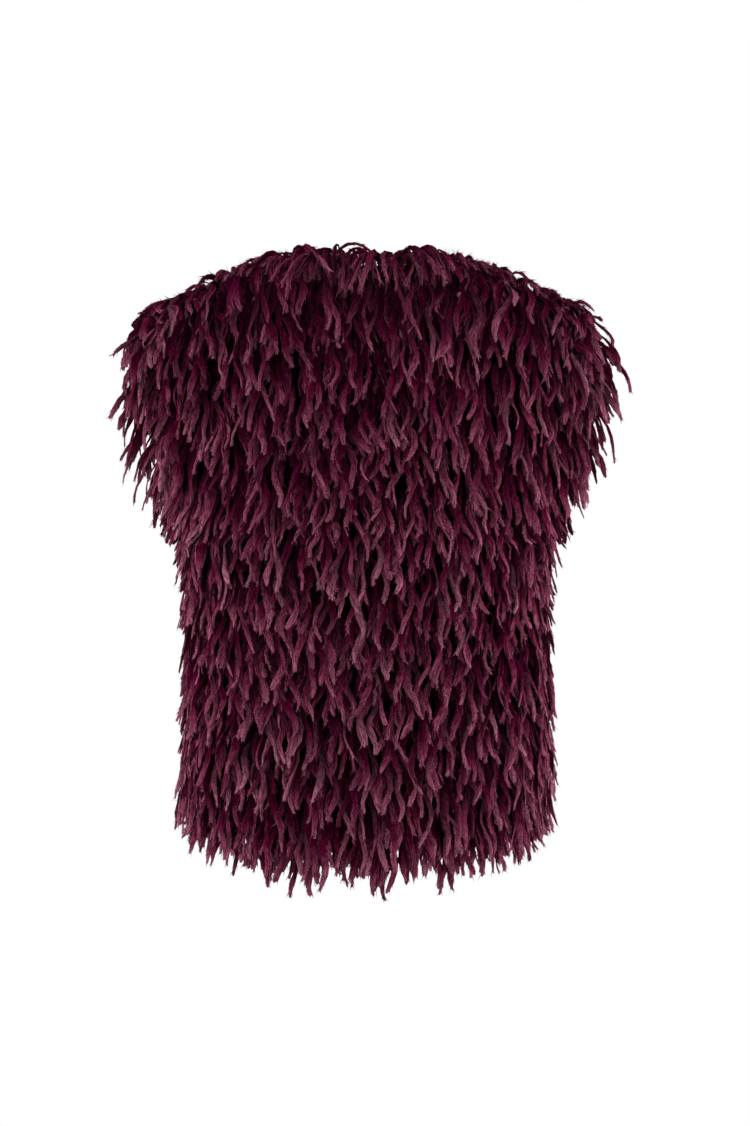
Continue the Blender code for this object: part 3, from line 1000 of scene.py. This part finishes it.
def growDown(panel, start, kind, chance):
    kind = down[kind]
    count = round(kind["count"] * shareOfBack(panel))
    single = (count, 1)
    across = chance.uniform(*panel["edges"], count) * kind["within"]
    lowest, highest = (start + tiers for tiers in kind["tiers"])
    tier = chance.uniform(lowest, highest, count)
    root, outwards, sideways = clothPoint(panel, across, tier, feather["start"])
    course = outwards * chance.uniform(*kind["outwards"], single)
    course = course + sideways * chance.normal(0, kind["sideways"], single)
    upright = np.array([0.0, 0.0, 1.0])
    if kind["lying"]:
        upright = np.cross(outwards, sideways) * -panel["facing"]
    course = course + upright * chance.uniform(*kind["upwards"], single)
    course /= np.linalg.norm(course, axis=1, keepdims=True)
    aside = np.cross(course, chance.normal(0, 1, (count, 3)))
    aside /= np.linalg.norm(aside, axis=1, keepdims=True)
    tip = root + course * chance.uniform(*kind["length"], single)
    points, triangles = spikes(root, tip, aside, down["thick"])
    strand = np.ones((count, 4, 4))
    strand[..., 0] = kind["along"]
    strand[..., 1] = chance.uniform(*kind["shadeAndTone"], single)
    return points, triangles, strand.reshape(-1, 4)


# the narrow tapes that hold the feathers' roots

tape = {
    "width": 0.12,  # of a tier
    "out": (0.0023, 0.0033),  # from the cloth's inner face
    "columns": 48,  # across the whole back
    "margin": 0.004,
    "strand": (0.0, 0.0, 0.5, 1.0),  # along, shade and tone, and place, as at a feather's root, so it takes the darkest painted shade
}


def tapeStrip(panel, tier):  # a closed band
    first, last = panel["edges"]
    columns = round(tape["columns"] * shareOfBack(panel))
    across = np.linspace(first, last, columns + 1)
    across = np.clip(across, first + tape["margin"], last - tape["margin"])
    inner, outer = tape["out"]
    lines = []
    for height, out in ((0.0, inner), (0.0, outer), (tape["width"], outer), (tape["width"], inner)):
        lines.append(clothPoint(panel, across, tier + height, out)[0])
    points = np.stack(lines, axis=1).reshape(-1, 3)
    triangles = [(0, 1, 2), (0, 2, 3)]
    for here in range(0, 4 * columns, 4):
        for corner in range(4):
            following = (corner + 1) % 4
            triangles.append((here + corner, here + 4 + corner, here + 4 + following))
            triangles.append((here + corner, here + 4 + following, here + following))
    end = 4 * columns
    triangles += [(end, end + 2, end + 1), (end, end + 3, end + 2)]
    triangles = np.array(triangles)
    if panel["facing"] > 0:
        triangles = triangles[:, ::-1]
    return points, triangles, np.tile(tape["strand"], (len(points), 1))


# one piece of fringe for each tier of each panel

def joinedMesh(name, groups, finish):
    points, triangles, strand = joinGroups(groups)
    mesh = bpy.data.meshes.new(name)
    mesh.from_pydata(points, [], triangles)
    mesh.attributes.new("strand", "FLOAT_COLOR", "POINT").data.foreach_set("color", strand.ravel())
    mesh.shade_smooth()
    mesh.set_sharp_from_angle(angle=math.radians(feather["sharp"]))
    mesh.materials.append(finish)
    obj = bpy.data.objects.new(name, mesh)
    bpy.context.scene.collection.objects.link(obj)
    return obj, len(triangles)


def makeFringe(name, panel, number, finish):
    chance = np.random.default_rng(panel["seed"] * 100 + number)  # each tier has its own
    top = number == figure["tierCount"] - 1
    paths = hangingPaths(panel, *rootPlaces(panel, number, chance), "hanging", chance)
    groups = [growFeathers(*paths, "edge" if top else "hanging", chance)]
    across, tier = edgePlaces(panel, number, chance)
    if len(across):
        groups.append(growFeathers(*hangingPaths(panel, across, tier, "edge", chance), "edge", chance))
    if top:
        groups.append(growFeathers(*wispPaths(panel, chance), "wisp", chance))
        groups.append(growDown(panel, figure["topTier"], "neck", chance))
    else:
        groups.append(growDown(panel, number, "between", chance))
    for line in range(1 if top else row["perTier"]):
        groups.append(tapeStrip(panel, number + row["start"] + line / row["perTier"]))
    obj, faces = joinedMesh(f"{name}_feathers_{number + 1:02d}", groups, finish)
    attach(obj, "root")
    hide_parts(f"{name}_fringe_{number + 1:02d}")
    return obj, faces


def dressVest():
    plumeFinish = makePlumeFinish()
    clothFinish = makeClothFinish()
    total = 0
    for name, panel in panels.items():
        shell = makePanel(name, panel, clothFinish)
        for number in range(figure["tierCount"]):
            obj, faces = makeFringe(name, panel, number, plumeFinish)
            total += faces
        print(f"{name}: feathers done, {total} triangles so far")


makeCamera()
makeLights()
makeSurroundings()
makeFloor()
print("studio done")
dressVest()
